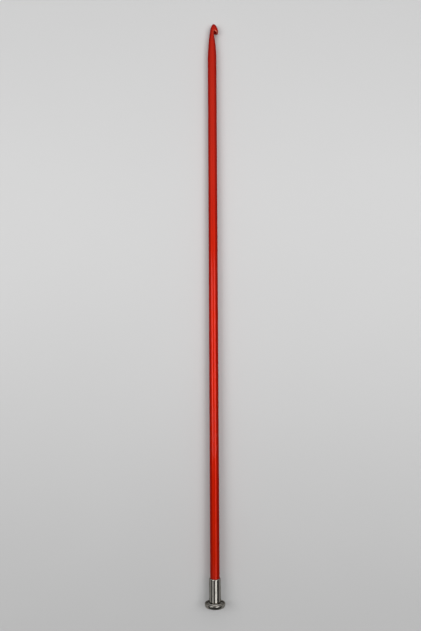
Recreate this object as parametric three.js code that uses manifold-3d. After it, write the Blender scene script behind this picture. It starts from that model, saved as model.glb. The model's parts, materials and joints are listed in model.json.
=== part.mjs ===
// Tunisian crochet hook: a long anodised aluminium rod with a hooked head, and a plated end cap made of
// a drawn sleeve, staked on the rod, and a disc rolled over the sleeve's flange.
//
// Sizes are in millimetres. In the hook's own group, the axis runs along +Y from the outer face of the
// end disc, at 0, to the tip of the head, +X is the throat side and +Z is up. The group then lies on
// the floor, on the disc's rim and the head end of the shaft.
import * as THREE from 'three';
import { mergeVertices } from 'three/addons/utils/BufferGeometryUtils.js';
import Module from 'manifold-3d';

const wasm = await Module();
wasm.setup();

// Whole hook
const overallLength = 355.6; // outer face of the end disc to the tip
const shaftDiameter = 5.5;
const seatClearance = 0.25; // between two pieces where one is seated in the other

// Head
const taperLength = 23; // tip to the end of the full shaft
const noseLength = 5.75; // tip to the widest place of the nose
const tipOffset = 1.1; // axis to the tip, towards the throat side
const lipReach = 4; // axis to the outside of the lip
const headBack = 1.4; // axis to the back of the head
const headThickness = 4.8; // across the throat side
const backCurve = 1.55; // how late the back leaves the shaft's line: 1 is a straight taper

// Neck, between the shaft and the throat
const neckFront = 1.05; // axis to where the neck's front would meet the head, uncut
const frontCurve = 2;
const neckThickness = 4.3;
const neckLength = 9.5; // tip to the shaft's end of the throat

// Throat
const throatFloor = 1.1; // axis to the bottom of the throat
const throatTop = 5.3; // tip to the throat's inner corner
const throatBarb = THREE.MathUtils.degToRad(27); // slope of the throat's ceiling
const throatCorner = 0.45; // radius of the inner corner
const lipRound = 0.45; // radius of the lip's end
const lipRoundEnd = THREE.MathUtils.degToRad(-15); // where the round end meets the outside of the lip
const scoopStart = 6.4; // tip to where the floor begins to rise
const scoopRadius = 6.8;

// End cap
const capLength = 15.9; // outer face of the end disc to the mouth of the sleeve
const sleeveWall = 0.3;
const sleeveFillet = 0.55; // outside radius between the tube and the flange
const mouthRound = 0.4; // length of the sleeve's rounded mouth
const discDiameter = 11.8;
const discWall = 0.35;
const rimHeight = 2.3; // outer face of the disc to the front of its rolled edge
const rimWidest = 1.8; // outer face to the widest place of the rim
const rimBackCurve = 1.1; // how far the rim draws in towards the outer face
const rimFrontCurve = 0.5; // how far the rolled edge draws in towards the front
const rimLip = 0.3; // flat end of the rolled edge, over the flange
const rodChamfer = 0.4; // on the rod's hidden end

// Stake mark
const stakeFromMouth = 3.7; // mouth to the middle of the mark
const stakeLength = 3.7;
const stakeWidth = 3.0;
const stakeDepth = 0.7;
const stakeAngle = THREE.MathUtils.degToRad(210); // round the axis, from +X towards +Z

// Fineness of the surfaces
const sides = 48; // round every piece
const noseRings = 8;
const headRings = 6;
const neckRings = 12;
const stakeSides = 28;
const throatSteps = 24; // to each arc of the throat
const turnedSteps = 6; // to each arc of the sleeve and the disc

// Sizes that follow
const shaftRadius = shaftDiameter / 2;
const boreRadius = shaftRadius + seatClearance;
const tubeRadius = boreRadius + sleeveWall;
const discRadius = discDiameter / 2;
const flangeRadius = discRadius - discWall - seatClearance;
const flangeFront = rimHeight - discWall - seatClearance; // under the rolled edge
const flangeBack = flangeFront - sleeveWall;
const rodStart = discWall + seatClearance; // the rod's hidden end seats on the disc
const taperStart = overallLength - taperLength;
const stakeCentre = capLength - stakeFromMouth;

// Materials
const anodisedRed = () => new THREE.MeshStandardMaterial({
  color: 0xb8200f, roughness: 0.34, metalness: 0.9,
});
const nickelPlate = () => new THREE.MeshStandardMaterial({
  color: 0xb9b5ac, roughness: 0.16, metalness: 1,
});

const mix = (from, to, share) => from + (to - from) * share;
const smooth = (share) => THREE.MathUtils.smoothstep(share, 0, 1);

// A closed solid from a geometry whose shared corners are made one
function solidFrom(geometry) {
  const plain = geometry.clone();
  plain.deleteAttribute('normal');
  plain.deleteAttribute('uv');
  const merged = mergeVertices(plain, 1e-4);
  const corners = merged.index.array;
  const kept = [];
  for (let i = 0; i < corners.length; i += 3) {
    const [a, b, c] = corners.slice(i, i + 3);
    if (a !== b && b !== c && c !== a) kept.push(a, b, c);
  }
  return new wasm.Manifold(new wasm.Mesh({
    numProp: 3,
    vertProperties: merged.attributes.position.array,
    triVerts: new Uint32Array(kept),
  }));
}

function meshFrom(name, solid, material) {
  const { vertProperties, triVerts } = solid.getMesh();
  const geometry = new THREE.BufferGeometry();
  geometry.setAttribute('position', new THREE.BufferAttribute(vertProperties, 3));
  geometry.setIndex(new THREE.BufferAttribute(triVerts, 1));
  geometry.computeVertexNormals();
  const mesh = new THREE.Mesh(geometry, material);
  mesh.name = name;
  return mesh;
}

// A skin over rings of equal count, closed with a fan at the first and the last ring's middle
function loft(rings) {
  const count = rings[0].length;
  const middles = [rings[0], rings.at(-1)].map((ring) => (
    ring.reduce((sum, point) => sum.add(point), new THREE.Vector3()).divideScalar(count)));
  const points = [...rings.flat(), ...middles];
  const last = (rings.length - 1) * count;
  const startMiddle = points.length - 2;
  const endMiddle = points.length - 1;
  const index = [];
  for (let i = 0; i < count; i += 1) {
    const next = (i + 1) % count;
    for (let base = 0; base < last; base += count) {
      index.push(base + i, base + count + next, base + count + i);
      index.push(base + i, base + next, base + count + next);
    }
    index.push(startMiddle, next, i);
    index.push(endMiddle, last + i, last + next);
  }
  return new THREE.BufferGeometry().setFromPoints(points).setIndex(index);
}

// A closed profile of (radius, place along the axis), turned round the axis
function turned(profile) {
  return solidFrom(new THREE.LatheGeometry([...profile, profile[0]], sides));
}

// Points of an arc about (x, y), which is an ellipse where two radii are given
function arc(x, y, radius, from, to, steps, radiusY = radius) {
  return Array.from({ length: steps + 1 }, (_, i) => {
    const angle = mix(from, to, i / steps);
    return new THREE.Vector2(x + radius * Math.cos(angle), y + radiusY * Math.sin(angle));
  });
}

// Width and thickness of the rod at a distance from its tip, before the throat is cut
function rodSection(fromTip) {
  const run = (taperLength - fromTip) / (taperLength - noseLength);
  const back = -shaftRadius + (shaftRadius - headBack) * run ** backCurve;
  const uncut = shaftRadius - (shaftRadius - neckFront) * run ** frontCurve;
  const headShare = smooth((neckLength - fromTip) / (neckLength - noseLength));
  const neckShare = smooth((taperLength - fromTip) / (taperLength - neckLength));
  const front = mix(uncut, lipReach, headShare);
  const thickness = mix(mix(shaftDiameter, neckThickness, neckShare), headThickness, headShare);
  const noseRun = Math.min(1, fromTip / noseLength);
  const dome = Math.sqrt(1 - (1 - noseRun) ** 2);
  return {
    centre: mix(tipOffset, (front + back) / 2, noseRun),
    halfWidth: (front - back) / 2 * dome,
    halfThickness: thickness / 2 * dome,
  };
}

function sectionRing({ centre, halfWidth, halfThickness }, along) {
  return Array.from({ length: sides }, (_, i) => {
    const angle = 2 * Math.PI * i / sides;
    return new THREE.Vector3(
      centre + halfWidth * Math.sin(angle), along, halfThickness * Math.cos(angle));
  });
}

// The uncut rod: plain shaft, then the taper, the neck and the nose
function rodBlank() {
  const fromTip = [];
  for (let i = 0; i < neckRings; i += 1) fromTip.push(mix(taperLength, neckLength, i / neckRings));
  for (let i = 0; i < headRings; i += 1) fromTip.push(mix(neckLength, noseLength, i / headRings));
  for (let i = noseRings; i > 0; i -= 1) {
    fromTip.push(noseLength * (1 - Math.cos(Math.PI / 2 * i / noseRings)));
  }
  const shaft = { centre: 0, halfWidth: shaftRadius, halfThickness: shaftRadius };
  const end = shaftRadius - rodChamfer;
  const rings = [
    sectionRing({ centre: 0, halfWidth: end, halfThickness: end }, rodStart),
    sectionRing(shaft, rodStart + rodChamfer),
    ...fromTip.map((distance) => sectionRing(rodSection(distance), overallLength - distance)),
  ];
  const tip = new THREE.Vector3(tipOffset, overallLength, 0);
  return solidFrom(loft([...rings, rings[0].map(() => tip)]));
}

// What the throat's cutter takes away: a scooped floor, a round inner corner, a barbed ceiling, and the
// sharp end of the lip
function throatCutter() {
  const outside = 3 * lipReach;
  const half = (Math.PI / 2 - throatBarb) / 2; // half the angle between floor and ceiling
  const corner = new THREE.Vector2(throatFloor, overallLength - throatTop);
  const tangent = throatCorner / Math.tan(half);
  const scoopAt = overallLength - scoopStart;
  const profile = new THREE.Shape();
  profile.moveTo(throatFloor + scoopRadius, scoopAt - scoopRadius);
  profile.absarc(throatFloor + scoopRadius, scoopAt, scoopRadius, -Math.PI / 2, -Math.PI, true);
  profile.lineTo(corner.x, corner.y - tangent);
  profile.absarc(
    corner.x + throatCorner, corner.y - tangent, throatCorner, Math.PI, Math.PI / 2 - throatBarb, true);
  const lip = new THREE.Vector2(lipReach - lipRound, corner.y + lipRound / Math.cos(throatBarb));
  lip.y -= (lip.x - corner.x) * Math.tan(throatBarb);
  profile.absarc(lip.x, lip.y, lipRound, -Math.PI / 2 - throatBarb, lipRoundEnd, false);
  profile.lineTo(outside, profile.currentPoint.y);
  const width = 2 * Math.max(headThickness, shaftDiameter);
  const cutter = new THREE.ExtrudeGeometry(
    profile, { depth: width, bevelEnabled: false, curveSegments: throatSteps });
  cutter.translate(0, 0, -width / 2);
  return solidFrom(cutter);
}

// The stake mark's form, grown on every side, where it meets the tube
function stakeForm(grown) {
  const form = new THREE.SphereGeometry(1, stakeSides, stakeSides / 2);
  form.scale(stakeDepth + grown, stakeLength / 2 + grown, stakeWidth / 2 + grown);
  form.translate(tubeRadius, stakeCentre, 0);
  form.rotateY(-stakeAngle);
  return solidFrom(form);
}

function hookRod() {
  return rodBlank()
    .subtract(throatCutter())
    .subtract(stakeForm(sleeveWall + seatClearance));
}

// A plain round bar about the axis, along the stake mark, that ends inside the sleeve's wall
function stakeLimit() {
  const inWall = boreRadius + sleeveWall / 2;
  return turned([
    new THREE.Vector2(0, stakeCentre - stakeLength),
    new THREE.Vector2(inWall, stakeCentre - stakeLength),
    new THREE.Vector2(inWall, stakeCentre + stakeLength),
    new THREE.Vector2(0, stakeCentre + stakeLength),
  ]);
}

// The drawn tube with its rounded mouth and its flange, and the wall pressed in at the stake mark
function endSleeve() {
  const half = sleeveWall / 2;
  const filletX = tubeRadius + sleeveFillet;
  const filletY = flangeFront + sleeveFillet;
  const quarter = Math.PI / 2;
  const tube = turned([
    new THREE.Vector2(flangeRadius, flangeBack),
    new THREE.Vector2(flangeRadius, flangeFront),
    ...arc(filletX, filletY, sleeveFillet, -quarter, -2 * quarter, turnedSteps),
    ...arc(boreRadius + half, capLength - mouthRound, half, 0, 2 * quarter, turnedSteps, mouthRound),
    ...arc(filletX, filletY, sleeveFillet + sleeveWall, 2 * quarter, 3 * quarter, turnedSteps),
  ]);
  const pressedIn = stakeForm(sleeveWall).intersect(stakeLimit());
  return tube.add(pressedIn).subtract(stakeForm(0));
}

// One side of the disc's sheet, from its flat middle round the rim to the front of the rolled edge
function discSide(inset) {
  const back = discRadius - rimBackCurve;
  const front = discRadius - rimFrontCurve;
  const frontHeight = rimHeight - rimWidest;
  const quarter = Math.PI / 2;
  return [
    ...arc(back, rimWidest, rimBackCurve - inset, -quarter, 0, turnedSteps, rimWidest - inset),
    ...arc(front, rimWidest, rimFrontCurve - inset, 0, quarter, turnedSteps, frontHeight - inset).slice(1),
  ];
}

// The disc, with its edge rolled over the flange
function endDisc() {
  const half = discWall / 2;
  const edge = discRadius - rimFrontCurve - rimLip;
  return turned([
    new THREE.Vector2(0, 0),
    ...discSide(0),
    ...arc(edge, rimHeight - half, half, Math.PI / 2, 1.5 * Math.PI, turnedSteps),
    ...discSide(discWall).reverse(),
    new THREE.Vector2(0, discWall),
  ]);
}

// The angle that lays the widest place of the rim and the head end of the shaft on one floor
function layAngle() {
  return Math.atan2(discRadius - shaftRadius, taperStart - rimWidest);
}

const hook = new THREE.Group();
hook.add(meshFrom('hook_rod', hookRod(), anodisedRed()));
hook.add(meshFrom('end_sleeve', endSleeve(), nickelPlate()));
hook.add(meshFrom('end_disc', endDisc(), nickelPlate()));
hook.rotation.x = -layAngle();

// The origin is on the floor, under the middle of the hook
const box = new THREE.Box3().setFromObject(hook, true);
hook.position.set(0, -(box.min.y + box.max.y) / 2, -box.min.z);

const part = new THREE.Group();
part.add(hook);

export default part;
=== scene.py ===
"""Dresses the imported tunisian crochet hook: fine meshes, metal finishes, stage, lights and camera.

The hook's own frame has its axis along +Y, from the outer face of the end disc to the tip of the head,
with +X on the throat side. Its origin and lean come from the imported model, so every piece lies where
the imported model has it. Sizes are in metres.
"""

import json
import math

import bpy
import numpy as np
from bpy.props import FloatProperty, FloatVectorProperty, IntProperty, PointerProperty
from mathutils import Euler, Matrix, Vector


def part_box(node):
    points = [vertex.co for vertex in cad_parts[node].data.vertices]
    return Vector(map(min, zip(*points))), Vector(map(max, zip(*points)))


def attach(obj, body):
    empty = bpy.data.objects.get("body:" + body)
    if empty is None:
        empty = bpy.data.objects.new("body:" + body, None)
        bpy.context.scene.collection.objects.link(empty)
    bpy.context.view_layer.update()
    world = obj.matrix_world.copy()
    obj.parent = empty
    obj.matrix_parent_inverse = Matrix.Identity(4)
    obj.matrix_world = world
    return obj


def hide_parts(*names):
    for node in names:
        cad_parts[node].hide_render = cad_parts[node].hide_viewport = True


bl_info = {
    "name": "Tunisian crochet hook",
    "version": (1, 0, 0),
    "blender": (4, 5, 0),
    "location": "3D View > Sidebar > Hook",
    "description": "Makes a long anodised crochet hook with a plated end cap, and its stage",
    "category": "Object",
}

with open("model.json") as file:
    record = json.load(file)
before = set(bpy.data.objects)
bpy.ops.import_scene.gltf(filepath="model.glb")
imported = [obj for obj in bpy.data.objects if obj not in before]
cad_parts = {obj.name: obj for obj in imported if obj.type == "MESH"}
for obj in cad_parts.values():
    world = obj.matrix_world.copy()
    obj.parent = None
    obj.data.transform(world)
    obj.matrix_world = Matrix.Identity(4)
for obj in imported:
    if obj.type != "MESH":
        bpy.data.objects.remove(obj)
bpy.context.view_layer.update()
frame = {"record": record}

BODY = "root"
MM = 0.001
QUARTER = math.pi / 2
FIT = 0.005 * MM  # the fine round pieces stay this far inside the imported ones

# Where the hook lies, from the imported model
END_FACE = next(mount for mount in frame["record"]["mounts"] if mount["name"] == "end_face")
HOOK_START = Vector(END_FACE["pos_m"])
HOOK_AXIS = -Vector(END_FACE["axis"]).normalized()
HOOK_LEAN = math.atan2(HOOK_AXIS.z, HOOK_AXIS.y)
HOOK_PLACE = Matrix.Translation(HOOK_START) @ Matrix.Rotation(HOOK_LEAN, 4, "X")

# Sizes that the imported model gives
ROD_LOW, ROD_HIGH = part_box("hook_rod")
HOOK_LENGTH = (ROD_HIGH.y - HOOK_START.y) / HOOK_AXIS.y
SHAFT_RADIUS = -ROD_LOW.x
LIP_REACH = ROD_HIGH.x
FLANGE_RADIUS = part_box("end_sleeve")[1].x
DISC_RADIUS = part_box("end_disc")[1].x

# The head's mesh
HEAD_SHARE = 1.3  # its length from the tip, in neck lengths
PAST_TIP = -0.2  # how far past the tip its centre line still leans, in nose lengths
RELAX_ROUNDS = 8
RELAX_SHARE = 0.6
SETTLE_ROUNDS = 3
SLOPE_STEP = 0.01 * MM
LEAST_SLOPE_SQUARED = 0.05

# Where the head is rubbed, and where its bare colour paints a highlight on the lip's edge
WEAR_AND_HIGHLIGHT_REACH = 1.5  # out from the throat's edge, in eased edges
FULL_WEAR_AND_HIGHLIGHT = 0.6  # it is full from here on the way from the throat's floor to the lip's outside
WEAR_AND_HIGHLIGHT_FADE = 1.2 * MM  # from the scoop's start to the end of the lip's wear
TIP_WEAR_AND_HIGHLIGHT_LENGTH = 1.5 * MM
LEAST_WEAR_AND_HIGHLIGHT = 0.15  # at the tip and round the throat

# Rings along the neck, the shaft, the stake mark and the hidden end
RING_COUNTS = (40, 24, 28, 5)
MARK_REACH = 0.65  # how far the mark's rings reach each way, in mark lengths

# The stake mark, out from its middle in half sizes
MARK_FLOOR = 0.15  # full depth up to here
MARK_EDGE = 1.1  # no depth from here on, and the metal round it stands highest
RAISED_START = 0.75
RAISED_END = 1.6
MARK_FULL = 1.2  # in tube radii: it is whole up to here, and gone from the next on
MARK_GONE = 1.25

# The cap's mesh
SLEEVE_PITCH = 0.22 * MM
DISC_PITCH = 0.25 * MM
MERGE_DISTANCE = 0.001 * MM

# The stage
FLOOR_DROP = 0.02 * MM
PHOTO_HEIGHT = 631  # pixels
SENSOR_HEIGHT = 36  # millimetres
NEAREST_SEEN = 10 * MM

# The colour sockets of a Mix node
MIX_LOW, MIX_HIGH, MIX_RESULT = 6, 7, 2


def length(name, description, default):
    """A size in metres that a user may change."""
    return FloatProperty(name=name, description=description, default=default, unit="LENGTH", precision=5)


def angle(name, description, degrees):
    """An angle that a user may change."""
    return FloatProperty(
        name=name, description=description, default=math.radians(degrees), subtype="ANGLE"
    )


def amount(name, description, default):
    """A plain number that a user may change."""
    return FloatProperty(name=name, description=description, default=default)


def share(name, description, default):
    """A number from 0 to 1 that a user may change."""
    return FloatProperty(name=name, description=description, default=default, min=0, max=1)


def colour(name, description, default):
    """A linear colour that a user may change."""
    return FloatVectorProperty(
        name=name, description=description, default=default, size=3, min=0, max=1, subtype="COLOR"
    )


class RodSizes(bpy.types.PropertyGroup):
    """Sizes of the rod: shaft, neck, throat and head."""

    hook_length: length("Hook length", "Outer face of the cap to the tip", HOOK_LENGTH)
    shaft_radius: length("Shaft radius", "Radius of the plain shaft", SHAFT_RADIUS - FIT)
    taper_length: length("Taper length", "Tip to the end of the full shaft", 23 * MM)
    nose_length: length("Nose length", "Tip to the widest place of the nose", 5.75 * MM)
    tip_offset: length("Tip offset", "Axis to the tip, towards the throat side", 1.1 * MM)
    lip_reach: length("Lip reach", "Axis to the outside of the lip", LIP_REACH)
    head_back: length("Head back", "Axis to the back of the head", 1.4 * MM)
    head_thickness: length("Head thickness", "Thickness of the head", 4.8 * MM)
    back_curve: amount("Back curve", "Shape of the taper's back, 1 is straight", 1.55)
    neck_front: length("Neck front", "Axis to the front of the uncut neck at the head", 1.05 * MM)
    front_curve: amount("Front curve", "Shape of the taper's front, 1 is straight", 2)
    neck_thickness: length("Neck thickness", "Thickness of the neck at the throat", 4.3 * MM)
    neck_length: length("Neck length", "Tip to the shaft's end of the throat", 9.5 * MM)
    throat_floor: length("Throat floor", "Axis to the bottom of the throat", 1.1 * MM)
    throat_top: length("Throat top", "Tip to the throat's inner corner", 5.3 * MM)
    throat_barb: angle("Barb", "Slope of the throat's ceiling", 27)
    throat_corner: length("Throat corner", "Radius of the throat's inner corner", 0.45 * MM)
    lip_round: length("Lip round", "Radius of the lip's end", 0.45 * MM)
    scoop_start: length("Scoop start", "Tip to where the throat's floor begins to rise", 6.4 * MM)
    scoop_radius: length("Scoop radius", "Radius of the throat's rising floor", 6.8 * MM)
    eased_edge: length("Eased edge", "How far the polished edges of the throat are rounded", 0.7 * MM)
    end_chamfer: length("End chamfer", "Chamfer of the rod's hidden end", 0.4 * MM)
    end_place: length("Rod end", "Outer face of the cap to the rod's hidden end", 0.6 * MM)
    head_pitch: length("Head mesh pitch", "Side of the faces on the head", 0.1 * MM)


class CapSizes(bpy.types.PropertyGroup):
    """Sizes of the end cap: the staked sleeve and the rolled disc. Places are from the outer face."""

    cap_length: length("Cap length", "Outer face of the disc to the mouth", 15.9 * MM)
    bore_radius: length("Bore radius", "Inside of the tube", SHAFT_RADIUS + 0.25 * MM)
    sleeve_wall: length("Sleeve wall", "Thickness of the sleeve's sheet", 0.3 * MM)
    fillet: length("Fillet", "Outside radius between tube and flange", 0.55 * MM)
    mouth_round: length("Mouth round", "Length of the rounded mouth", 0.45 * MM)
    mouth_gap: length("Mouth gap", "Rod to the edge of the mouth, which is closed on it", 0.04 * MM)
    mouth_depth: length("Mouth depth", "How far behind the mouth the bore is full", 1.0 * MM)
    flange_radius: length("Flange radius", "Radius of the sleeve's flange", FLANGE_RADIUS)
    flange_front: length("Flange front", "Front face of the flange", 1.7 * MM)
    disc_radius: length("Disc radius", "Radius of the disc at its rim", DISC_RADIUS - FIT)
    disc_wall: length("Disc wall", "Thickness of the disc's sheet", 0.35 * MM)
    rim_height: length("Rim height", "Front of the rolled edge", 2.3 * MM)
    rim_widest: length("Rim widest", "Widest place of the rim", 1.95 * MM)
    rim_back: length("Rim back", "How far the rim draws in towards the outer face", 0.85 * MM)
    rim_front: length("Rim front", "How far the rim draws in towards the front", 0.5 * MM)
    rim_lip: length("Rim lip", "Flat end of the rolled edge", 0.3 * MM)
    sides: IntProperty(name="Sides", description="Faces round the cap", default=144, min=24)


class StakeSizes(bpy.types.PropertyGroup):
    """Sizes of the stake mark that locks the sleeve on the rod."""

    from_mouth: length("From mouth", "Mouth to the middle of the mark", 3.7 * MM)
    mark_length: length("Mark length", "Length of the mark along the sleeve", 3.7 * MM)
    mark_width: length("Mark width", "Width of the mark round the sleeve", 3.0 * MM)
    depth: length("Depth", "How far the wall is pressed in", 0.7 * MM)
    raised: length("Raised edge", "How far the metal round the mark is pushed up", 0.05 * MM)
    turn: angle("Turn", "Place round the axis, from +X towards +Z", 210)


class Finishes(bpy.types.PropertyGroup):
    """Colours, gloss, relief and wear of the two metals. The rod's bare worn colour is partly real wear and
    partly a painted highlight on the lip.
    """

    dye: colour("Dye", "Anodised colour where the dye is deep", (0.49, 0.010, 0.0008))
    dye_thin: colour("Thin dye", "Anodised colour where the dye is thin", (0.59, 0.017, 0.0015))
    dye_edge: colour("Dye at the edge", "Tint of the rod's flat reflections", (0.12, 0.006, 0.003))
    # The bare colour and the wear amount are real rubbing and partly a painted highlight on the lip's edge
    bare_and_highlight: colour("Bare metal", "Aluminium where the edges are rubbed", (0.86, 0.38, 0.25))
    wear_and_highlight: share("Wear", "How much the edges are rubbed", 1.0)
    rod_roughness: share("Rod roughness", "Roughness of the satin rod", 0.48)
    rod_gloss: share("Rod gloss", "Coat of the sealed oxide over the dye", 0.04)
    gloss_roughness: share("Gloss roughness", "Roughness of the sealed oxide", 0.1)
    gloss_index: amount("Gloss index", "How strongly the sealed oxide mirrors", 3.0)
    line_depth: length("Line depth", "Depth of the rod's drawing lines", 0.004 * MM)
    nickel: colour("Nickel", "Plated metal", (0.34, 0.325, 0.295))
    nickel_dull: colour("Dull nickel", "Plated metal where it is handled", (0.30, 0.285, 0.26))
    nickel_matt: colour("Matt nickel", "Plated metal where it is not polished", (0.42, 0.405, 0.375))
    nickel_edge: colour("Nickel edge", "Tint of the plate's flat reflections", (0.3, 0.285, 0.26))
    nickel_roughness: share("Nickel roughness", "Roughness of the plate", 0.09)
    groove_roughness: share("Groove roughness", "What the groove adds to the plate's roughness", 0.4)
    wave_depth: length("Wave depth", "Depth of the waves in the plated sheet", 0.05 * MM)
    scratch_depth: length("Scratch depth", "Depth of the plate's turning lines and scratches", 0.003 * MM)


class StageSettings(bpy.types.PropertyGroup):
    """The pale floor, the lamps and the camera. Lamps turn about the hook, from straight above."""

    floor_half: length("Floor half", "Middle of the floor to its edges", 6.0)
    # The far and near greys paint shade: the floor darkens towards the near end in its colour
    floor_far: share("Far floor", "Grey of the floor beyond the head", 0.695)
    floor_near: share("Near floor", "Grey of the floor before the cap", 0.485)
    far_place: length("Far place", "Along the hook, where the far grey begins", 90 * MM)
    near_place: length("Near place", "Along the hook, where the near grey begins", -240 * MM)
    sky_light: amount("Sky light", "Soft light above and beyond the head, 1 as white paper", 1.1)
    sky_start: amount("Sky start", "Lean towards the head, as a sine, where it is dim", 0.12)
    sky_full: amount("Sky full", "Lean towards the head, as a sine, where it is full", 0.38)
    sky_edge: share("Sky edge", "Share of the sky light that is left at the height of the floor", 0.45)
    dim_light: share("Dim light", "Grey of the room behind the camera", 0.07)
    horizon_light: share("Horizon light", "Grey of the room at the height of the floor", 0.25)
    horizon_height: share("Horizon height", "How far up that grey fades out, as a sine", 0.16)
    lamp_distance: length("Lamp distance", "Hook to the lamps", 800 * MM)
    long_far: length("Long lamps' far end", "Place along the hook", 190 * MM)
    long_near: length("Long lamps' near end", "Place along the hook", -190 * MM)
    long_spread: angle("Long lamps' spread", "Half their width, seen from the hook", 16.4)
    left_angle: angle("Left long lamp", "Turn about the hook", -37)
    left_light: amount("Left long light", "1 shines as white paper", 4.0)
    right_angle: angle("Right long lamp", "Turn about the hook", 31)
    right_light: amount("Right long light", "1 shines as white paper", 4.0)
    faint_spread: angle("Faint lamp's spread", "Half its width, seen from the hook", 6)
    faint_light: amount("Faint light", "Lamp between the right long one and the wide ones", 2.2)
    wide_far: length("Wide lamps' far end", "Place along the hook", -395 * MM)
    wide_near: length("Wide lamps' near end", "Place along the hook", -560 * MM)
    wide_spread: angle("Wide lamps' spread", "Half their width, seen from the hook", 17.5)
    left_wide_angle: angle("Left wide lamp", "Turn about the hook", -43)
    left_wide_light: amount("Left wide light", "1 shines as white paper", 0.66)
    right_wide_angle: angle("Right wide lamp", "Turn about the hook", 21)
    right_wide_light: amount("Right wide light", "1 shines as white paper", 1.95)
    focal_pixels: amount("Focal length", "In pixels of the 421 by 631 picture", 600)
    camera_place: FloatVectorProperty(
        name="Camera place", description="Place of the lens", size=3, unit="LENGTH",
        default=(-1.98 * MM, -43.03 * MM, 366.2 * MM),
    )
    camera_tilt: angle("Camera tilt", "Lean of the view towards the head", 5.39)
    camera_roll: angle("Camera roll", "Turn of the picture about the view", -0.281)


class Value:
    """A number that a node tree works out, so that sums on it are written as Python sums."""

    def __init__(self, tree, socket):
        self.tree = tree
        self.socket = socket

    def __add__(self, other):
        return self.tree.math("ADD", self, other)

    def __radd__(self, other):
        return self.tree.math("ADD", other, self)

    def __sub__(self, other):
        return self.tree.math("SUBTRACT", self, other)

    def __rsub__(self, other):
        return self.tree.math("SUBTRACT", other, self)

    def __mul__(self, other):
        return self.tree.math("MULTIPLY", self, other)

    def __rmul__(self, other):
        return self.tree.math("MULTIPLY", other, self)

    def __truediv__(self, other):
        return self.tree.math("DIVIDE", self, other)

    def __rtruediv__(self, other):
        return self.tree.math("DIVIDE", other, self)

    def clamped(self):
        """The same number, kept from 0 to 1."""
        return self.tree.math("ADD", self, 0, clamp=True)


class Tree:
    """A node tree, with one way to add any node and one to add a sum."""

    def __init__(self, tree):
        self.tree = tree

    def add(self, kind, settings=None, sockets=None):
        """A node of that kind. Its settings come first, then its socket values and links."""
        node = self.tree.nodes.new(kind)
        for name, value in (settings or {}).items():
            setattr(node, name, value)
        for name, value in (sockets or {}).items():
            self.put(node.inputs[name], value)
        return node

    def put(self, socket, value):
        """Links a value to a socket, or sets the socket."""
        if isinstance(value, Value):
            self.tree.links.new(value.socket, socket)
        elif isinstance(value, bpy.types.NodeSocket):
            self.tree.links.new(value, socket)
        else:
            socket.default_value = value

    def math(self, operation, *values, clamp=False):
        """One step of a sum."""
        node = self.add("ShaderNodeMath", {"operation": operation, "use_clamp": clamp})
        for socket, value in zip(node.inputs, values):
            self.put(socket, value)
        return Value(self, node.outputs[0])

    def smooth(self, value, none, full):
        """0 where the value is at none or past it, 1 at full or past it, and smooth between."""
        node = self.add(
            "ShaderNodeMapRange",
            {"interpolation_type": "SMOOTHSTEP"},
            {"Value": value, "From Min": none, "From Max": full},
        )
        return Value(self, node.outputs["Result"])

    def split(self, vector):
        """A vector's three numbers."""
        node = self.add("ShaderNodeSeparateXYZ", sockets={"Vector": vector})
        return [Value(self, socket) for socket in node.outputs]

    def join(self, x, y, z):
        """A vector of three numbers."""
        return self.add("ShaderNodeCombineXYZ", sockets={"X": x, "Y": y, "Z": z}).outputs[0]


class Finish(Tree):
    """A material with a Principled shader, and the patterns that feed it."""

    def __init__(self, name):
        self.material = bpy.data.materials.new(name)
        self.material.use_nodes = True
        super().__init__(self.material.node_tree)
        self.tree.nodes.clear()
        self.shader = self.add("ShaderNodeBsdfPrincipled")
        output = self.add("ShaderNodeOutputMaterial")
        self.tree.links.new(self.shader.outputs["BSDF"], output.inputs["Surface"])

    def set(self, **sockets):
        """Sets or links the shader's sockets, whose names are given in small letters."""
        for name, value in sockets.items():
            self.put(self.shader.inputs[name.replace("_", " ").title().replace("Ior", "IOR")], value)

    def hook_coordinates(self):
        """Object coordinates turned and moved into the hook's own frame, in metres."""
        place = self.add("ShaderNodeTexCoord").outputs["Object"]
        return self.add(
            "ShaderNodeMapping",
            {"vector_type": "TEXTURE"},
            {"Vector": place, "Location": HOOK_START, "Rotation": (HOOK_LEAN, 0, 0)},
        ).outputs["Vector"]

    def noise(self, vector, waves, detail=2, roughness=0.5):
        """Soft noise, from 0 to 1, at so many waves to the metre along each axis."""
        scaled = self.add("ShaderNodeVectorMath", {"operation": "MULTIPLY"}, {0: vector, 1: waves})
        node = self.add(
            "ShaderNodeTexNoise",
            sockets={"Vector": scaled.outputs[0], "Scale": 1, "Detail": detail, "Roughness": roughness},
        )
        return Value(self, node.outputs["Fac"])

    def blend(self, mask, low, high):
        """A colour between two, by a mask."""
        node = self.add("ShaderNodeMix", {"data_type": "RGBA"}, {"Factor": mask})
        self.put(node.inputs[MIX_LOW], low)
        self.put(node.inputs[MIX_HIGH], high)
        return node.outputs[MIX_RESULT]

    def bump(self, height, depth, strength, normal=None):
        """Relief of so many metres, laid over an earlier one if that is given."""
        sockets = {"Height": height, "Distance": depth, "Strength": strength}
        if normal is not None:
            sockets["Normal"] = normal
        return self.add("ShaderNodeBump", sockets=sockets).outputs["Normal"]


def rgba(triple):
    """An opaque colour."""
    return (*triple, 1)


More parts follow.
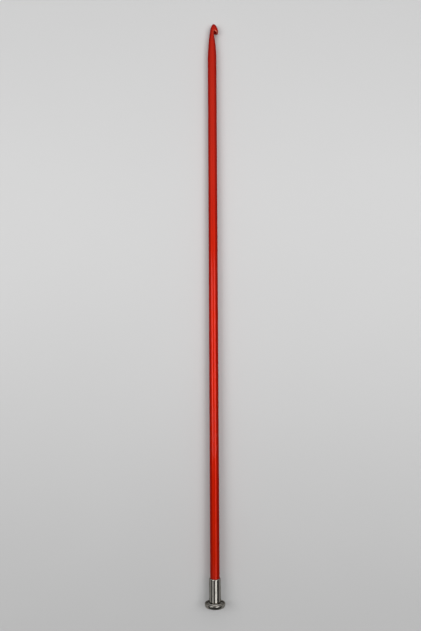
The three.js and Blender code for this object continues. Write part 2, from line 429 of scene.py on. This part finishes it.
def anodised_metal(finishes):
    """Satin anodised aluminium: drawn lines along the rod, uneven dye, and rubbed edges whose bare colour
    is partly real wear and partly a painted highlight on the lip.
    """
    finish = Finish("red_anodising")
    place = finish.hook_coordinates()
    drawn = finish.noise(place, (6500, 22, 6500), detail=3, roughness=0.6)
    fine_drawn = finish.noise(place, (16000, 90, 16000), detail=1)
    cloud = finish.noise(place, (240, 38, 240), detail=3)
    grain = finish.noise(place, (9000, 9000, 9000), detail=1)
    scuff = finish.noise(place, (900, 260, 900), detail=4, roughness=0.7)
    # Edge wear attribute: real rubbing, and partly a painted highlight in bare colour on the lip's edge
    edge_wear_and_highlight = finish.add("ShaderNodeAttribute", {"attribute_name": "edge_wear_and_highlight"})
    rubbed_and_highlight = Value(finish, edge_wear_and_highlight.outputs["Fac"])
    worn_and_highlight = (rubbed_and_highlight * finish.smooth(scuff, none=0.25, full=0.65) * finishes.wear_and_highlight).clamped()
    thin = (finish.smooth(cloud, none=0.25, full=0.8) * 0.55 + drawn * 0.45).clamped()
    dyed = finish.blend(thin, rgba(finishes.dye), rgba(finishes.dye_thin))
    surface = finish.blend(worn_and_highlight, dyed, rgba(finishes.bare_and_highlight))
    roughness = (
        finishes.rod_roughness + (drawn - 0.5) * 0.10 + (cloud - 0.5) * 0.05 + grain * 0.03 - worn_and_highlight * 0.08
    )
    relief = drawn * 0.6 + fine_drawn * 0.3 + grain * 0.1
    finish.set(
        base_color=surface,
        metallic=1.0,
        roughness=roughness,
        coat_weight=finishes.rod_gloss,
        coat_roughness=finishes.gloss_roughness,
        coat_ior=finishes.gloss_index,
        specular_tint=rgba(finishes.dye_edge),
        normal=finish.bump(relief, finishes.line_depth, strength=0.55),
    )
    return finish.material


def groove_mask(finish, place, cap):
    """1 in the groove between tube and rolled edge, where no polishing wheel reaches, and 0 elsewhere."""
    x, along, z = finish.split(place)
    radius = finish.math("SQRT", x * x + z * z)
    edge = cap.disc_radius - cap.rim_front - cap.rim_lip
    inside = finish.smooth(radius, none=edge + 0.1 * MM, full=edge - 0.2 * MM)
    behind = finish.smooth(along, none=cap.rim_height + 0.2 * MM, full=cap.rim_height - 0.1 * MM)
    return inside * behind * finish.smooth(along, none=0.6 * MM, full=1.0 * MM)


def nickel_plate(finishes, cap):
    """Polished nickel over drawn sheet: waves, turning lines, haze, fine scratches and a matt groove."""
    finish = Finish("polished_nickel")
    place = finish.hook_coordinates()
    groove = groove_mask(finish, place, cap)
    waves = finish.noise(place, (420, 260, 420), detail=1)
    haze = finish.noise(place, (700, 500, 700), detail=4, roughness=0.65)
    turning = finish.noise(place, (90, 9000, 90), detail=2)
    scratch_along = finish.noise(place, (5200, 240, 5200), detail=2)
    aslant = finish.add(
        "ShaderNodeMapping", {"vector_type": "POINT"}, {"Vector": place, "Rotation": (0.5, 0.9, 0.35)}
    ).outputs["Vector"]
    scratch_across = finish.noise(aslant, (300, 7000, 600), detail=2)
    scratched = (
        finish.smooth(scratch_along, none=0.66, full=0.72)
        + finish.smooth(scratch_across, none=0.67, full=0.72)
    ).clamped()
    dull = finish.smooth(haze, none=0.45, full=0.8)
    polished = finish.blend(
        (dull * 0.6 + scratched * 0.3).clamped(), rgba(finishes.nickel), rgba(finishes.nickel_dull)
    )
    roughness = (
        finishes.nickel_roughness + dull * 0.10 + scratched * 0.14 + turning * 0.03
        + groove * finishes.groove_roughness
    )
    relief = finish.bump(waves, finishes.wave_depth, strength=0.35)
    lines = turning * 0.5 - scratched * 0.5
    finish.set(
        base_color=finish.blend(groove, polished, rgba(finishes.nickel_matt)),
        metallic=1.0,
        roughness=roughness,
        specular_tint=rgba(finishes.nickel_edge),
        normal=finish.bump(lines, finishes.scratch_depth, strength=0.4, normal=relief),
    )
    return finish.material


def floor_paint(settings):
    """A plain pale floor whose colour darkens a little towards the near end as painted shade, with a faint
    tooth.
    """
    finish = Finish("pale_floor")
    place = finish.add("ShaderNodeTexCoord").outputs["Object"]
    _, along, _ = finish.split(place)
    far = finish.smooth(along, none=settings.near_place, full=settings.far_place)
    tooth = finish.noise(place, (1400, 1400, 1400), detail=2)
    cloud = finish.noise(place, (9, 9, 9), detail=2)
    # Painted shade: the floor's grey falls from the far grey to the near grey
    shade = finish.blend(far, rgba((settings.floor_near,) * 3), rgba((settings.floor_far,) * 3))
    fleck = finish.blend((cloud * 0.10 + tooth * 0.03).clamped(), shade, rgba((0.9, 0.9, 0.9)))
    finish.set(base_color=fleck, roughness=0.65, specular_ior_level=0.25)
    return finish.material


def smooth_step(low, high, value):
    """0 at low, 1 at high, and smooth between."""
    run = np.clip((value - low) / (high - low), 0, 1)
    return run * run * (3 - 2 * run)


def mix(low, high, part):
    """The value that lies so far from low to high."""
    return low + (high - low) * part


def rod_section(sizes, from_tip):
    """Centre, half width and half thickness of the uncut rod at distances from the tip."""
    radius = sizes.shaft_radius
    run = np.maximum(0, (sizes.taper_length - from_tip) / (sizes.taper_length - sizes.nose_length))
    back = -radius + (radius - sizes.head_back) * run**sizes.back_curve
    uncut = radius - (radius - sizes.neck_front) * run**sizes.front_curve
    head = smooth_step(sizes.neck_length, sizes.nose_length, from_tip)
    neck = smooth_step(sizes.taper_length, sizes.neck_length, from_tip)
    front = mix(uncut, sizes.lip_reach, head)
    thickness = mix(mix(2 * radius, sizes.neck_thickness, neck), sizes.head_thickness, head)
    nose = np.clip(from_tip / sizes.nose_length, PAST_TIP, 1)
    centre = mix(sizes.tip_offset, (front + back) / 2, nose)
    return centre, (front - back) / 2, thickness / 2


def arc(x, y, radius, start, end, steps, radius_y=None):
    """Points of an arc about (x, y), which is an ellipse where a second radius is given."""
    turn = np.linspace(start, end, steps + 1)
    return np.stack(
        [x + radius * np.cos(turn), y + (radius_y or radius) * np.sin(turn)], axis=1
    )


def throat_outline(sizes):
    """The throat's cutter in (x, along): scooped floor, round corner, barbed ceiling and lip end."""
    tip = sizes.hook_length
    floor = sizes.throat_floor
    barb = sizes.throat_barb
    corner = sizes.throat_corner
    scoop_radius = sizes.scoop_radius
    outside = 3 * sizes.lip_reach
    ceiling = tip - sizes.throat_top
    reach = corner / math.tan((QUARTER - barb) / 2)
    lip_x = sizes.lip_reach - sizes.lip_round
    lip_y = ceiling + sizes.lip_round / math.cos(barb) - (lip_x - floor) * math.tan(barb)
    lip_end = math.radians(-15)
    scoop = arc(
        floor + scoop_radius, tip - sizes.scoop_start, scoop_radius, -QUARTER, -2 * QUARTER, steps=48
    )
    inner = arc(floor + corner, ceiling - reach, corner, 2 * QUARTER, QUARTER - barb, steps=16)
    lip = arc(lip_x, lip_y, sizes.lip_round, -QUARTER - barb, lip_end, steps=20)
    return np.vstack([scoop, inner, lip, [[outside, lip[-1, 1]], [outside, scoop[0, 1]]]])


def outline_distance(outline, x, y):
    """Distance to a closed outline, below 0 inside it, for flat arrays of x and y."""
    nearest = np.full(x.shape, np.inf)
    inside = np.zeros(x.shape, bool)
    for (ax, ay), (bx, by) in zip(outline, np.roll(outline, -1, axis=0)):
        side_x, side_y = bx - ax, by - ay
        run = np.clip(((x - ax) * side_x + (y - ay) * side_y) / (side_x**2 + side_y**2), 0, 1)
        gap = np.hypot(x - ax - run * side_x, y - ay - run * side_y)
        nearest = np.minimum(nearest, gap)
        if ay != by:
            crosses = (ay > y) != (by > y)
            inside ^= crosses & (x < ax + (y - ay) / side_y * side_x)
    return np.where(inside, -nearest, nearest)


class Head:
    """The head and the throat as one field: below 0 in the metal, above 0 outside."""

    def __init__(self, sizes):
        self.sizes = sizes
        self.outline = throat_outline(sizes)

    def blank(self, x, y, z):
        """The uncut rod, about in metres from its skin."""
        from_tip = self.sizes.hook_length - y
        centre, width, thickness = rod_section(self.sizes, from_tip)
        nose = np.maximum(0, 1 - from_tip / self.sizes.nose_length)
        out = np.sqrt(((x - centre) / width) ** 2 + (z / thickness) ** 2 + nose**2) - 1
        return out * np.minimum(width, thickness)

    def cut(self, blank, throat):
        """The blank without the throat, with the edge between them eased."""
        ease = self.sizes.eased_edge
        both = np.maximum(ease - np.abs(blank + throat), 0)
        return np.maximum(blank, -throat) + both**2 / (4 * ease)

    def field(self, points):
        """The field at points, which is 0 on the skin."""
        x, y, z = points.T
        return self.cut(self.blank(x, y, z), outline_distance(self.outline, x, y))

    def settle(self, points, held):
        """Moves points onto the skin. Held points stay in their plane across the axis."""
        for _ in range(SETTLE_ROUNDS):
            gap = self.field(points)
            slope = np.stack(
                [(self.field(points + step) - gap) / SLOPE_STEP for step in SLOPE_STEP * np.eye(3)],
                axis=1,
            )
            slope[held, 1] = 0
            steep = np.maximum((slope**2).sum(1), LEAST_SLOPE_SQUARED)
            points = points - (gap / steep)[:, None] * slope
        return points

    def wear_and_highlight(self, points):
        """How rubbed the metal is, which also places a painted highlight: 1 on the lip's eased edge, less
        round the throat and at the tip.
        """
        sizes = self.sizes
        x, y, z = points.T
        blank = np.abs(self.blank(x, y, z))
        throat = np.abs(outline_distance(self.outline, x, y))
        edge = 1 - smooth_step(0, WEAR_AND_HIGHLIGHT_REACH * sizes.eased_edge, blank + throat)
        from_tip = sizes.hook_length - y
        lip = smooth_step(sizes.throat_floor, mix(sizes.throat_floor, sizes.lip_reach, FULL_WEAR_AND_HIGHLIGHT), x)
        lip = lip * smooth_step(sizes.scoop_start + WEAR_AND_HIGHLIGHT_FADE, sizes.scoop_start, from_tip)
        tip = 1 - smooth_step(0, TIP_WEAR_AND_HIGHLIGHT_LENGTH, from_tip)
        return np.clip(edge * mix(LEAST_WEAR_AND_HIGHLIGHT, 1, lip) + LEAST_WEAR_AND_HIGHLIGHT * tip, 0, 1)


def skin_of(field, low, high, pitch):
    """Quads over the 0 level of a field in a box, one corner to each grid cell that it crosses."""
    axes = [np.arange(a, b, pitch) for a, b in zip(low, high)]
    grid = field(axes)
    inside = grid < 0
    shape = tuple(n - 1 for n in inside.shape)
    count = np.zeros(shape, int)
    for i, j, k in np.ndindex(2, 2, 2):
        count += inside[i:i + shape[0], j:j + shape[1], k:k + shape[2]]
    crossed = (count > 0) & (count < 8)  # of the cell's 8 corners, some inside and some outside
    number = np.full(shape, -1)
    number[crossed] = np.arange(crossed.sum())
    cells = np.argwhere(crossed)
    corners = np.array(low) + (cells + 0.5) * pitch
    unit = np.eye(3, dtype=int)
    quads = []
    for axis in range(3):
        one, two = (axis + 1) % 3, (axis + 2) % 3
        first = np.take(inside, range(inside.shape[axis] - 1), axis=axis)
        second = np.take(inside, range(1, inside.shape[axis]), axis=axis)
        for leaves, order in ((first & ~second, 1), (~first & second, -1)):
            edge = np.argwhere(leaves)
            sides = edge[:, [one, two]]
            edge = edge[((sides > 0) & (sides < (shape[one], shape[two]))).all(axis=1)]
            ring = [
                number[tuple((edge - step_one * unit[one] - step_two * unit[two]).T)]
                for step_one, step_two in ((1, 1), (0, 1), (0, 0), (1, 0))
            ]
            quads.append(np.stack(ring[::order], axis=1))
    return corners, np.vstack(quads)


def head_start(sizes):
    """Where the head's own mesh begins, along the axis."""
    return sizes.hook_length - HEAD_SHARE * sizes.neck_length


def head_mesh(sizes):
    """The head's field, its corners and quads, open at the neck, and the open edge's corners."""
    head = Head(sizes)
    pitch = sizes.head_pitch
    margin = 4 * pitch
    start = head_start(sizes)
    side = max(sizes.shaft_radius, sizes.head_thickness / 2) + margin
    low = (-side, start, -side)
    high = (sizes.lip_reach + margin, sizes.hook_length + margin, side)

    def field(axes):
        x, y, z = np.meshgrid(*axes, indexing="ij")
        flat = np.stack(np.meshgrid(axes[0], axes[1], indexing="ij"), axis=-1).reshape(-1, 2)
        throat = outline_distance(head.outline, *flat.T).reshape(len(axes[0]), len(axes[1]), 1)
        return head.cut(head.blank(x, y, z), throat)

    points, quads = skin_of(field, low, high, pitch)
    edges = np.sort(np.vstack([quads[:, [i, (i + 1) % 4]] for i in range(4)]), axis=1)
    found, times = np.unique(edges, axis=0, return_counts=True)
    rim_edges = found[times == 1]
    first_layer = start + 0.75 * pitch
    held = np.zeros(len(points), bool)
    held[rim_edges.ravel()] = True
    held &= points[:, 1] < first_layer
    points = relaxed(head, points, found, rim_edges, held)
    return head, points, quads, np.flatnonzero(held)


def relaxed(head, points, edges, rim_edges, held):
    """Evens out the corners of a skin and keeps them on it."""
    for _ in range(RELAX_ROUNDS):
        total = np.zeros_like(points)
        near = np.zeros(len(points))
        for chosen, group in ((~held, edges), (held, rim_edges)):
            for a, b in (group.T, group.T[::-1]):
                use = chosen[a]
                np.add.at(total, a[use], points[b[use]])
                np.add.at(near, a[use], 1)
        moved = points + RELAX_SHARE * (total / near[:, None] - points)
        moved[held, 1] = points[held, 1]
        points = head.settle(moved, held)
    return points


def stake_press(cap, stake, x, along, z):
    """How far the metal is pressed in at places on the rod, as a share of the mark's depth."""
    turn = np.arctan2(z, x) - stake.turn
    turn = (turn + np.pi) % (2 * np.pi) - np.pi
    across = turn * (cap.bore_radius + cap.sleeve_wall) / (stake.mark_width / 2)
    length_share = (along - (cap.cap_length - stake.from_mouth)) / (stake.mark_length / 2)
    return 1 - smooth_step(MARK_FLOOR, MARK_EDGE, np.hypot(across, length_share))


def ring_places(sizes, cap, stake, start):
    """Places along the axis, from the head's open edge down to the hidden end, for the rod's rings."""
    mark = cap.cap_length - stake.from_mouth
    reach = MARK_REACH * stake.mark_length
    end = sizes.end_place + sizes.end_chamfer
    bounds = (start, sizes.hook_length - sizes.taper_length, mark + reach, mark - reach, end)
    return np.concatenate([
        np.linspace(above, below, count)[1:]
        for above, below, count in zip(bounds, bounds[1:], RING_COUNTS)
    ])


def rod_ring(sizes, cap, stake, turn, along):
    """Corners round the rod at a place along the axis, pressed in where the stake mark is."""
    centre, width, thickness = rod_section(sizes, sizes.hook_length - along)
    x = centre + width * np.sin(turn)
    z = thickness * np.cos(turn)
    pressed = 1 - stake.depth / sizes.shaft_radius * stake_press(cap, stake, x, along, z)
    return np.stack([x * pressed, np.full(len(turn), along), z * pressed], axis=1)


def end_ring(turn, along, radius):
    """Corners of a plain ring on the rod's hidden end."""
    return np.stack([radius * np.sin(turn), np.full(len(turn), along), radius * np.cos(turn)], axis=1)


def rod_mesh(sizes, cap, stake):
    """The whole rod: the eased head, then rings grown from its open edge by the section's rule."""
    head, points, quads, rim = head_mesh(sizes)
    start = points[rim[0], 1]
    centre, width, thickness = rod_section(sizes, sizes.hook_length - start)
    turn = np.arctan2((points[rim, 0] - centre) / width, points[rim, 2] / thickness)
    order = np.argsort(turn)
    rim, turn = rim[order], turn[order]
    inner = sizes.shaft_radius - sizes.end_chamfer
    rings = [rod_ring(sizes, cap, stake, turn, along) for along in ring_places(sizes, cap, stake, start)]
    rings += [end_ring(turn, sizes.end_place, radius) for radius in (inner, inner / 2)]
    faces = [quads]
    last = rim
    total = len(points)
    for _ in rings:
        ring = total + np.arange(len(turn))
        faces.append(np.stack([last, ring, np.roll(ring, -1), np.roll(last, -1)], axis=1))
        last = ring
        total += len(turn)
    fan = np.stack([last, np.full(len(turn), total), np.roll(last, -1)], axis=1)
    corners = np.vstack([points, *rings, [[0, sizes.end_place, 0]]])
    return head, corners, np.vstack(faces), fan


def new_object(name, data):
    """A new object at the origin, in the scene."""
    made = bpy.data.objects.new(name, data)
    bpy.context.scene.collection.objects.link(made)
    return made


def smooth_piece(name, points, faces, material):
    """A smooth mesh object with its place in its mesh, from points in the hook's frame."""
    mesh = bpy.data.meshes.new(name)
    mesh.from_pydata([HOOK_PLACE @ Vector(point) for point in points], [], faces)
    mesh.validate()
    mesh.update()
    mesh.shade_smooth()
    mesh.materials.append(material)
    return new_object(name, mesh)


def hand_over(piece, node):
    """Puts a finished piece on its body and hides the imported node that it stands for."""
    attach(piece, BODY)
    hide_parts(node)


class HOOK_OT_rod(bpy.types.Operator):
    """Make the anodised rod with its head, throat, neck and shaft"""

    bl_idname = "hook.rod"
    bl_label = "Hook rod"

    def execute(self, context):
        scene = context.scene
        sizes, cap, stake = scene.rod_sizes, scene.cap_sizes, scene.stake_sizes
        head, points, quads, fan = rod_mesh(sizes, cap, stake)
        material = anodised_metal(scene.finishes)
        rod = smooth_piece("anodised_rod", points, quads.tolist() + fan.tolist(), material)
        # The edge wear, which also places the painted highlight on the lip
        wear_and_highlight = rod.data.attributes.new("edge_wear_and_highlight", "FLOAT", "POINT")
        near_head = points[:, 1] > head_start(sizes)
        values = np.zeros(len(points))
        values[near_head] = head.wear_and_highlight(points[near_head])
        wear_and_highlight.data.foreach_set("value", values)
        hand_over(rod, "hook_rod")
        return {"FINISHED"}


def outline_object(name, points):
    """A mesh of corners and edges in order, for a turned piece to read."""
    mesh = bpy.data.meshes.new(name)
    edges = [(i, i + 1) for i in range(len(points) - 1)]
    mesh.from_pydata([(x, y, 0) for x, y in points], edges, [])
    return new_object(name, mesh)


def spaced(points, pitch):
    """The same outline, with corners added so that no side is longer than the pitch."""
    kept = [points[:1]]
    for start, end in zip(points[:-1], points[1:]):
        steps = max(1, math.ceil(np.hypot(*(end - start)) / pitch))
        kept.append(start + (end - start) * (np.arange(1, steps + 1) / steps)[:, None])
    return np.vstack(kept)


def sleeve_outline(cap):
    """The sleeve's sheet in (radius, along), from the flange's edge up the outside and down the bore."""
    half = cap.sleeve_wall / 2
    tube = cap.bore_radius + cap.sleeve_wall
    fillet_x = tube + cap.fillet
    fillet_y = cap.flange_front + cap.fillet
    closed = SHAFT_RADIUS + cap.mouth_gap
    edge_round = 0.2 * cap.mouth_round
    mouth_x = closed + edge_round
    mouth_y = cap.cap_length - cap.mouth_round
    inner_fillet = cap.fillet + cap.sleeve_wall
    edge = arc(cap.flange_radius - half, cap.flange_front - half, half, -QUARTER, QUARTER, steps=8)
    outline = np.vstack([
        edge,
        arc(fillet_x, fillet_y, cap.fillet, -QUARTER, -2 * QUARTER, steps=12),
        arc(mouth_x, mouth_y, tube - mouth_x, 0, QUARTER, steps=16, radius_y=cap.mouth_round),
        arc(mouth_x, cap.cap_length - edge_round, edge_round, QUARTER, 2 * QUARTER, steps=6)[1:],
        [[cap.bore_radius, cap.cap_length - cap.mouth_depth]],
        arc(fillet_x, fillet_y, inner_fillet, 2 * QUARTER, 3 * QUARTER, steps=12),
        edge[:1],
    ])
    return spaced(outline, SLEEVE_PITCH)


def disc_side(cap, inset):
    """One side of the disc's sheet, from its flat middle round the rim to the rolled edge's front."""
    widest = cap.rim_widest
    back = cap.disc_radius - cap.rim_back
    front = cap.disc_radius - cap.rim_front
    high = cap.rim_height - widest
    return np.vstack([
        arc(back, widest, cap.rim_back - inset, -QUARTER, 0, steps=20, radius_y=widest - inset),
        arc(front, widest, cap.rim_front - inset, 0, QUARTER, steps=14, radius_y=high - inset)[1:],
    ])


def disc_outline(cap):
    """The disc's sheet in (radius, along), from its middle round the rolled edge and back."""
    half = cap.disc_wall / 2
    edge = cap.disc_radius - cap.rim_front - cap.rim_lip
    outline = np.vstack([
        [[0, 0]],
        disc_side(cap, 0),
        arc(edge, cap.rim_height - half, half, QUARTER, 3 * QUARTER, steps=10),
        disc_side(cap, cap.disc_wall)[::-1],
        [[0, cap.disc_wall]],
    ])
    return spaced(outline, DISC_PITCH) + (0, FIT)


def turned_sheet_tree():
    """Geometry nodes that turn an outline round the axis and press a stake mark into it."""
    group = bpy.data.node_groups.new("turned_sheet", "GeometryNodeTree")
    group.is_modifier = True
    sizes = ("Stake place", "Stake turn", "Stake width", "Stake length", "Stake depth", "Stake raised",
             "Tube radius")
    kinds = {"Outline": "Geometry", "Sides": "Int", **dict.fromkeys(sizes, "Float"), "Metal": "Material"}
    sockets = {
        name: group.interface.new_socket(name, in_out="INPUT", socket_type="NodeSocket" + kind).identifier
        for name, kind in kinds.items()
    }
    group.interface.new_socket("Sheet", in_out="OUTPUT", socket_type="NodeSocketGeometry")
    tree = Tree(group)
    given = tree.add("NodeGroupInput").outputs
    size = {name: Value(tree, given[name]) for name in ("Sides", *sizes)}
    corners = tree.add("GeometryNodeAttributeDomainSize", sockets={"Geometry": given["Outline"]})
    count = Value(tree, corners.outputs["Point Count"])
    grid = tree.add(
        "GeometryNodeMeshGrid",
        sockets={"Size X": 1.0, "Size Y": 1.0, "Vertices X": count, "Vertices Y": size["Sides"] + 1},
    ).outputs["Mesh"]
    position = tree.add("GeometryNodeInputPosition").outputs[0]
    across, round_share, _ = tree.split(position)
    index = tree.add(
        "FunctionNodeFloatToInt",
        {"rounding_mode": "ROUND"},
        {"Float": (across + 0.5) * (count - 1)},
    ).outputs[0]
    sampled = tree.add(
        "GeometryNodeSampleIndex",
        {"data_type": "FLOAT_VECTOR", "domain": "POINT"},
        {"Geometry": given["Outline"], "Value": position, "Index": index},
    ).outputs[0]
    radius, along, _ = tree.split(sampled)
    turn = (round_share + 0.5) * (2 * math.pi)
    away = tree.math("PINGPONG", turn - size["Stake turn"], math.pi)
    tube = size["Tube radius"]
    round_run = away * tube / (size["Stake width"] / 2)
    along_run = (along - size["Stake place"]) / (size["Stake length"] / 2)
    run = tree.math("SQRT", round_run * round_run + along_run * along_run)
    pressed = tree.smooth(run, none=MARK_EDGE, full=MARK_FLOOR) * size["Stake depth"]
    rising = tree.smooth(run, none=RAISED_START, full=MARK_EDGE)
    falling = tree.smooth(run, none=RAISED_END, full=MARK_EDGE)
    raised = rising * falling * size["Stake raised"]
    on_tube = tree.smooth(radius, none=MARK_GONE * tube, full=MARK_FULL * tube)
    final = radius + (raised - pressed) * on_tube
    place = tree.join(final * tree.math("COSINE", turn), along, final * tree.math("SINE", turn))
    sheet = tree.add("GeometryNodeSetPosition", sockets={"Geometry": grid, "Position": place})
    for kind, values in (
        ("GeometryNodeMergeByDistance", {"Distance": MERGE_DISTANCE}),
        ("GeometryNodeSetShadeSmooth", {}),
        ("GeometryNodeRealizeInstances", {}),
        ("GeometryNodeSetMaterial", {"Material": given["Metal"]}),
    ):
        sheet = tree.add(kind, sockets={"Geometry": sheet.outputs[0], **values})
    tree.add("NodeGroupOutput", sockets={"Sheet": sheet.outputs[0]})
    return group, sockets


def turned_piece(name, outline, material, stake_depth):
    """A plain mesh turned from an outline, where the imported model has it, staked if a depth is given."""
    scene = bpy.context.scene
    cap, stake = scene.cap_sizes, scene.stake_sizes
    group, sockets = turned_sheet_tree()
    source = outline_object(name + "_outline", outline)
    modifier = source.modifiers.new("turned_sheet", "NODES")
    modifier.node_group = group
    for socket, value in {
        "Sides": cap.sides,
        "Stake place": cap.cap_length - stake.from_mouth,
        "Stake turn": stake.turn,
        "Stake width": stake.mark_width,
        "Stake length": stake.mark_length,
        "Stake depth": stake_depth,
        "Stake raised": stake.raised if stake_depth else 0.0,
        "Tube radius": cap.bore_radius + cap.sleeve_wall,
        "Metal": material,
    }.items():
        modifier[sockets[socket]] = value
    evaluated = source.evaluated_get(bpy.context.evaluated_depsgraph_get())
    mesh = bpy.data.meshes.new_from_object(evaluated)
    bpy.data.objects.remove(source)
    bpy.data.node_groups.remove(group)
    if not mesh.polygons:
        raise RuntimeError(name + " came out with no faces")
    mesh.name = name
    mesh.transform(HOOK_PLACE)
    if mesh_volume(mesh) < 0:
        mesh.flip_normals()
    return new_object(name, mesh)


def mesh_volume(mesh):
    """Volume inside a closed mesh, below 0 if its faces point inwards."""
    mesh.calc_loop_triangles()
    corners = np.array([vertex.co for vertex in mesh.vertices])
    a, b, c = (corners[[t.vertices[i] for t in mesh.loop_triangles]] for i in range(3))
    return float((a * np.cross(b, c)).sum() / 6)


class HOOK_OT_end_sleeve(bpy.types.Operator):
    """Make the plated sleeve that is staked on the rod"""

    bl_idname = "hook.end_sleeve"
    bl_label = "End sleeve"

    def execute(self, context):
        scene = context.scene
        outline = sleeve_outline(scene.cap_sizes)
        sleeve = turned_piece("plated_sleeve", outline, plate(scene), scene.stake_sizes.depth)
        hand_over(sleeve, "end_sleeve")
        return {"FINISHED"}


class HOOK_OT_end_disc(bpy.types.Operator):
    """Make the plated disc that is rolled over the sleeve's flange"""

    bl_idname = "hook.end_disc"
    bl_label = "End disc"

    def execute(self, context):
        scene = context.scene
        disc = turned_piece("plated_disc", disc_outline(scene.cap_sizes), plate(scene), 0.0)
        hand_over(disc, "end_disc")
        return {"FINISHED"}


def plate(scene):
    """The nickel plate, which both cap pieces share."""
    return bpy.data.materials.get("polished_nickel") or nickel_plate(scene.finishes, scene.cap_sizes)


def add_lamp(name, place, target, size, shine):
    """A lamp that faces a point. Its size is along and across the hook, and 1 shines as white paper."""
    light = bpy.data.lights.new(name, "AREA")
    light.shape = "RECTANGLE"
    light.size, light.size_y = size
    light.energy = math.pi * size[0] * size[1] * shine
    lamp = new_object(name, light)
    lamp.location = place
    aim = Vector(target) - Vector(place)
    lamp.rotation_euler = aim.to_track_quat("-Z", "Y").to_euler()


class HOOK_OT_stage(bpy.types.Operator):
    """Make the pale floor, the soft lamps and the camera"""

    bl_idname = "hook.stage"
    bl_label = "Stage"

    def execute(self, context):
        scene = context.scene
        settings = scene.stage_settings
        self.floor(settings)
        self.lamps(settings)
        self.room(settings)
        self.camera(scene, settings)
        scene.view_settings.view_transform = "Standard"
        return {"FINISHED"}

    def floor(self, settings):
        """One wide face, just under the hook."""
        half, low = settings.floor_half, -FLOOR_DROP
        corners = [(-half, -half, low), (half, -half, low), (half, half, low), (-half, half, low)]
        mesh = bpy.data.meshes.new("floor")
        mesh.from_pydata(corners, [], [(0, 1, 2, 3)])
        mesh.materials.append(floor_paint(settings))
        new_object("floor", mesh)

    def lamps(self, settings):
        """Two long lamps over the hook, a faint one on the right past their near end, and two wide ones."""
        distance = settings.lamp_distance
        long_ends = settings.long_near, settings.long_far
        faint_ends = settings.wide_far, settings.long_near
        wide_ends = settings.wide_near, settings.wide_far
        left, right = settings.left_angle, settings.right_angle
        for name, turn, spread, (near, far), shine in (
            ("left_long", left, settings.long_spread, long_ends, settings.left_light),
            ("right_long", right, settings.long_spread, long_ends, settings.right_light),
            ("right_faint", right, settings.faint_spread, faint_ends, settings.faint_light),
            ("left_wide", settings.left_wide_angle, settings.wide_spread, wide_ends,
             settings.left_wide_light),
            ("right_wide", settings.right_wide_angle, settings.wide_spread, wide_ends,
             settings.right_wide_light),
        ):
            middle = (near + far) / 2
            place = (distance * math.sin(turn), middle, distance * math.cos(turn))
            size = (far - near, 2 * distance * math.tan(spread))
            add_lamp(name + "_lamp", place, (0, middle, 0), size, shine)

    def room(self, settings):
        """Soft light above and beyond the head, a dim room behind the camera, and a grey horizon."""
        world = bpy.data.worlds.new("room")
        world.use_nodes = True
        bpy.context.scene.world = world
        world.node_tree.nodes.clear()
        tree = Tree(world.node_tree)
        direction = tree.add("ShaderNodeTexCoord").outputs["Generated"]
        _, along, up = tree.split(direction)
        lit = tree.smooth(along, none=settings.sky_start, full=settings.sky_full)
        sky = settings.sky_light * (settings.sky_edge + (1 - settings.sky_edge) * up)
        light = settings.dim_light + (sky - settings.dim_light) * lit
        low = tree.smooth(up, none=settings.horizon_height, full=0.0)
        light = light + (settings.horizon_light - light) * low
        background = tree.add("ShaderNodeBackground", sockets={"Color": (1, 1, 1, 1), "Strength": light})
        tree.add("ShaderNodeOutputWorld", sockets={"Surface": background.outputs[0]})

    def camera(self, scene, settings):
        """The camera, at the photograph's viewing angle."""
        camera = bpy.data.cameras.new("camera")
        camera.sensor_fit = "VERTICAL"
        camera.sensor_height = SENSOR_HEIGHT
        camera.lens = SENSOR_HEIGHT * settings.focal_pixels / PHOTO_HEIGHT
        camera.clip_start = NEAREST_SEEN
        holder = new_object("camera", camera)
        holder.location = settings.camera_place
        holder.rotation_euler = Euler((settings.camera_tilt, 0, settings.camera_roll), "XYZ")
        scene.camera = holder


class HOOK_PT_panel(bpy.types.Panel):
    """The hook's pieces and sizes in the sidebar"""

    bl_label = "Tunisian crochet hook"
    bl_idname = "HOOK_PT_panel"
    bl_space_type = "VIEW_3D"
    bl_region_type = "UI"
    bl_category = "Hook"

    def draw(self, context):
        layout = self.layout
        for operator in OPERATORS:
            layout.operator(operator.bl_idname)
        for name in GROUPS:
            box = layout.box()
            group = getattr(context.scene, name)
            for size in group.bl_rna.properties:
                if size.identifier not in {"rna_type", "name"}:
                    box.prop(group, size.identifier)


GROUPS = {
    "rod_sizes": RodSizes,
    "cap_sizes": CapSizes,
    "stake_sizes": StakeSizes,
    "finishes": Finishes,
    "stage_settings": StageSettings,
}
OPERATORS = (HOOK_OT_rod, HOOK_OT_end_sleeve, HOOK_OT_end_disc, HOOK_OT_stage)
CLASSES = (*GROUPS.values(), *OPERATORS, HOOK_PT_panel)


def register():
    for kind in CLASSES:
        bpy.utils.register_class(kind)
    for name, kind in GROUPS.items():
        setattr(bpy.types.Scene, name, PointerProperty(type=kind))


def unregister():
    for name in GROUPS:
        delattr(bpy.types.Scene, name)
    for kind in reversed(CLASSES):
        bpy.utils.unregister_class(kind)


def main():
    register()
    bpy.ops.hook.rod()
    bpy.ops.hook.end_sleeve()
    bpy.ops.hook.end_disc()
    bpy.ops.hook.stage()


if __name__ == "__main__":
    main()
